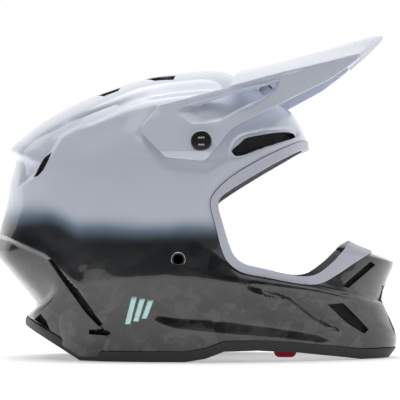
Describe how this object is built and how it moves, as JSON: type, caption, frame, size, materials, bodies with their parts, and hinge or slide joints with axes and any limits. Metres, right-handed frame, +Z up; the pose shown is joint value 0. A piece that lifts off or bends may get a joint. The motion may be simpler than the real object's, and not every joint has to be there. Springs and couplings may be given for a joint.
{
  "type": "motocross helmet",
  "caption": "Full-face off-road helmet with a projecting chin bar, an open eyeport, a tilting peak, vents, a foam liner, comfort pads and a buckled chin strap.",
  "frame": {"origin": "on the surface that the helmet stands on, under the middle of its overall length and width", "axes": "+X points forward, towards the chin and peak; +Y to the wearer's left; +Z up"},
  "size_m": [0.367, 0.2488, 0.2975],
  "materials": {
    "shell_gloss": "clear-coated composite, white over black",
    "peak_gloss": "gloss white",
    "pale_rubber": "soft matte, pale grey",
    "dark_rubber": "matte",
    "foam": "moulded beads",
    "comfort_fabric": "brushed mesh",
    "red_tab": "woven",
    "webbing": "ribbed weave",
    "steel": "satin",
    "black_plastic": "fine mesh",
    "insert_plastic": "satin",
    "black_anodised": "satin black"
  },
  "bodies": {
    "shell": {"outer_shell": "shell_gloss", "eyeport_trim": "pale_rubber", "base_trim": "dark_rubber", "eps_upper": "foam", "eps_lower": "foam", "eps_chin_bar": "foam", "crown_pad": "comfort_fabric", "brow_pad": "comfort_fabric", "neck_roll": "comfort_fabric", "cheek_pad_left": "comfort_fabric", "cheek_pad_right": "comfort_fabric", "release_tab_left": "red_tab", "release_tab_right": "red_tab", "pad_snaps": "black_plastic", "chin_strap_left": "webbing", "chin_strap_right": "webbing", "d_rings": "steel", "strap_anchor_left": "steel", "strap_anchor_right": "steel", "strap_snap": "black_plastic", "brow_vent_grilles": "black_plastic", "crown_vent_grilles": "black_plastic", "rear_vent_grilles": "black_plastic", "rear_slot_grilles": "black_plastic", "rear_port_grilles": "black_plastic", "tail_vent_grilles": "black_plastic", "chin_vent_grilles": "black_plastic", "cheek_vent_grilles": "black_plastic", "mouth_vent_frame": "black_plastic", "mouth_vent_grille": "black_plastic", "nose_guard": "dark_rubber", "pivot_insert_left": "insert_plastic", "pivot_insert_right": "insert_plastic", "center_insert": "insert_plastic"},
    "peak": {"peak": "peak_gloss", "peak_center_bracket": "peak_gloss", "pivot_bush_left": "black_plastic", "pivot_bush_right": "black_plastic"},
    "pivot_screw_left": {"pivot_screw_left": "black_anodised"},
    "pivot_screw_right": {"pivot_screw_right": "black_anodised"},
    "center_screw": {"center_screw": "black_anodised"}
  },
  "joints": [
    {"name": "peak_tilt", "type": "hinge", "parent": "shell", "child": "peak", "pos_m": [0.002, 0, 0.193], "axis": [0, -1, 0], "range_deg": [-6, 4]},
    {"name": "pivot_screw_left_turn", "type": "hinge", "parent": "shell", "child": "pivot_screw_left", "pos_m": [0.002, 0.12, 0.193], "axis": [0, 1, 0], "continuous": true},
    {"name": "pivot_screw_right_turn", "type": "hinge", "parent": "shell", "child": "pivot_screw_right", "pos_m": [0.002, -0.12, 0.193], "axis": [0, -1, 0], "continuous": true},
    {"name": "center_screw_turn", "type": "hinge", "parent": "shell", "child": "center_screw", "pos_m": [0.002, 0, 0.193], "axis": [0.7431, 0, 0.6691], "continuous": true}
  ]
}
